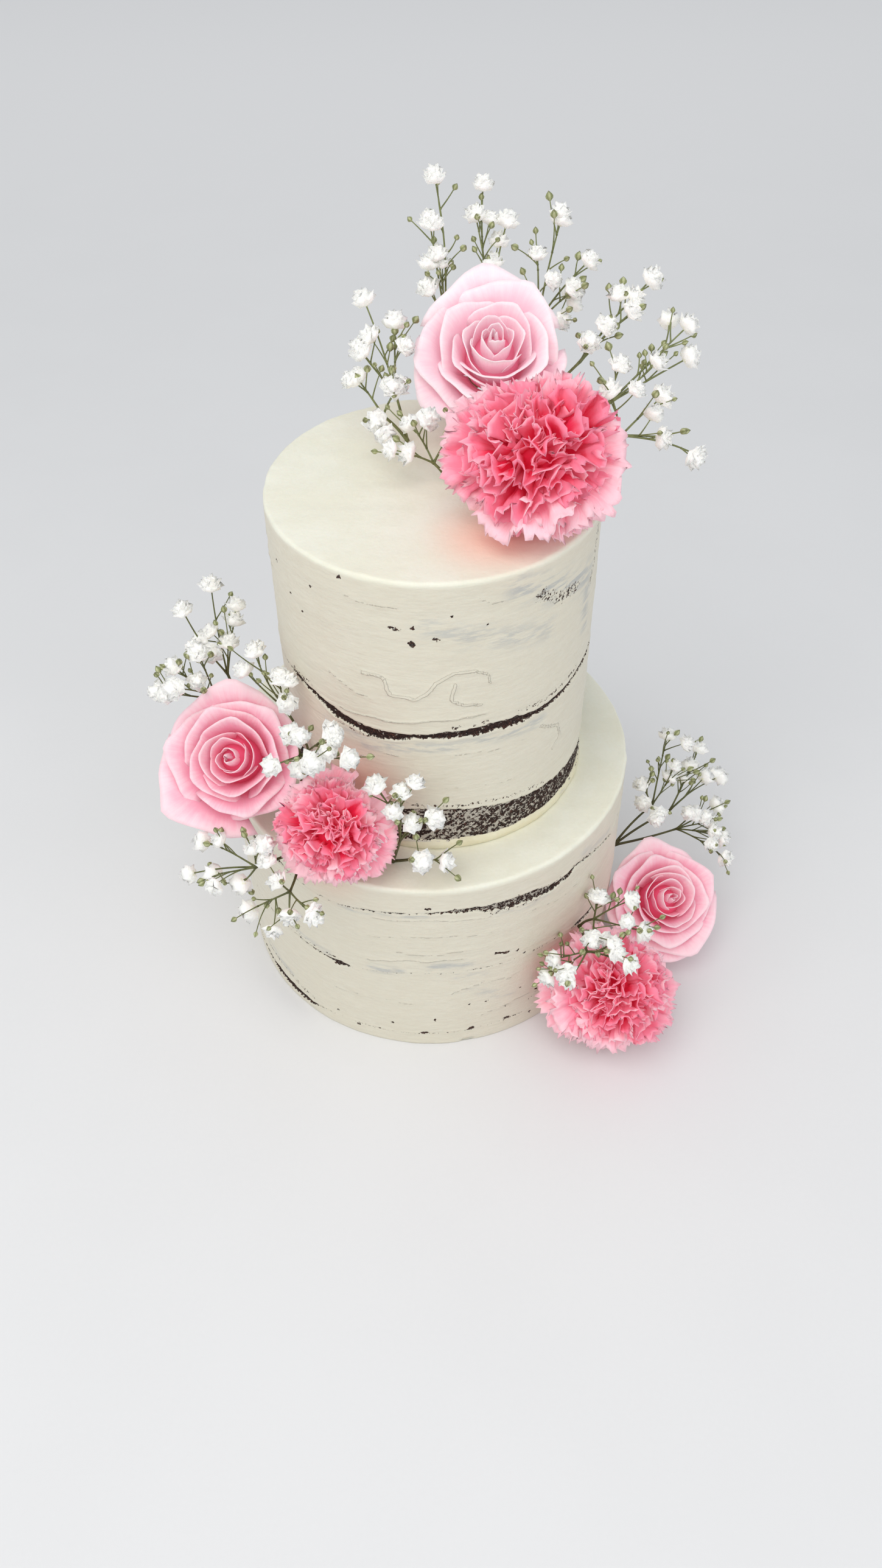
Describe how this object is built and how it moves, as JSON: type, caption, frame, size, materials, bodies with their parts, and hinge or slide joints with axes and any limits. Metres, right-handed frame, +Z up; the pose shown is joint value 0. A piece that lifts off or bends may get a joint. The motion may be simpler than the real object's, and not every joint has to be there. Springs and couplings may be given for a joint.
{
  "type": "tiered celebration cake",
  "caption": "Two-tier round celebration cake in a thin scraped coat of cream with dark sponge showing, dressed with pink roses, carnations and baby's breath.",
  "frame": {"origin": "centre of the lower tier's flat bottom face, where the cake rests", "axes": "+Z up the lower tier's axis; -Y is the front, with the most flowers to be seen; +X to the right seen from the front"},
  "size_m": [0.2687, 0.2072, 0.3408],
  "materials": {
    "cream": "smooth scraped ivory buttercream with soft sheen, thin in places so that the sponge shows faintly",
    "foot_cream": "smooth, slightly translucent yellowish cream collar",
    "sponge": "dark, open chocolate crumb, matt, with cream smeared over it",
    "rose_petals": "pale pink petals, deeper pink in the folds, soft velvety sheen",
    "carnation_petals": "coral pink toothed petals with paler rims and crimson depths",
    "spray_blooms": "small white double blooms on thin olive and brown twigs"
  },
  "bodies": {
    "root": {"lower_cream_foot": "cream", "lower_cream_low": "cream", "lower_cream_mid": "cream", "lower_cream_top": "cream", "upper_cream_low": "cream", "upper_cream_top": "cream", "upper_cream_foot": "foot_cream", "lower_sponge_low": "sponge", "lower_sponge_mid": "sponge", "lower_sponge_high": "sponge", "upper_sponge_low": "sponge", "upper_sponge_mid": "sponge", "rose_top": "rose_petals", "rose_left": "rose_petals", "rose_right": "rose_petals", "carnation_top": "carnation_petals", "carnation_left": "carnation_petals", "carnation_right": "carnation_petals", "spray_top_back_left": "spray_blooms", "spray_top_back_right": "spray_blooms", "spray_top_right": "spray_blooms", "spray_top_left": "spray_blooms", "spray_top_front": "spray_blooms", "spray_left_back": "spray_blooms", "spray_left_mid": "spray_blooms", "spray_left_right": "spray_blooms", "spray_left_low": "spray_blooms", "spray_right_back": "spray_blooms", "spray_right_front": "spray_blooms"}
  },
  "joints": []
}
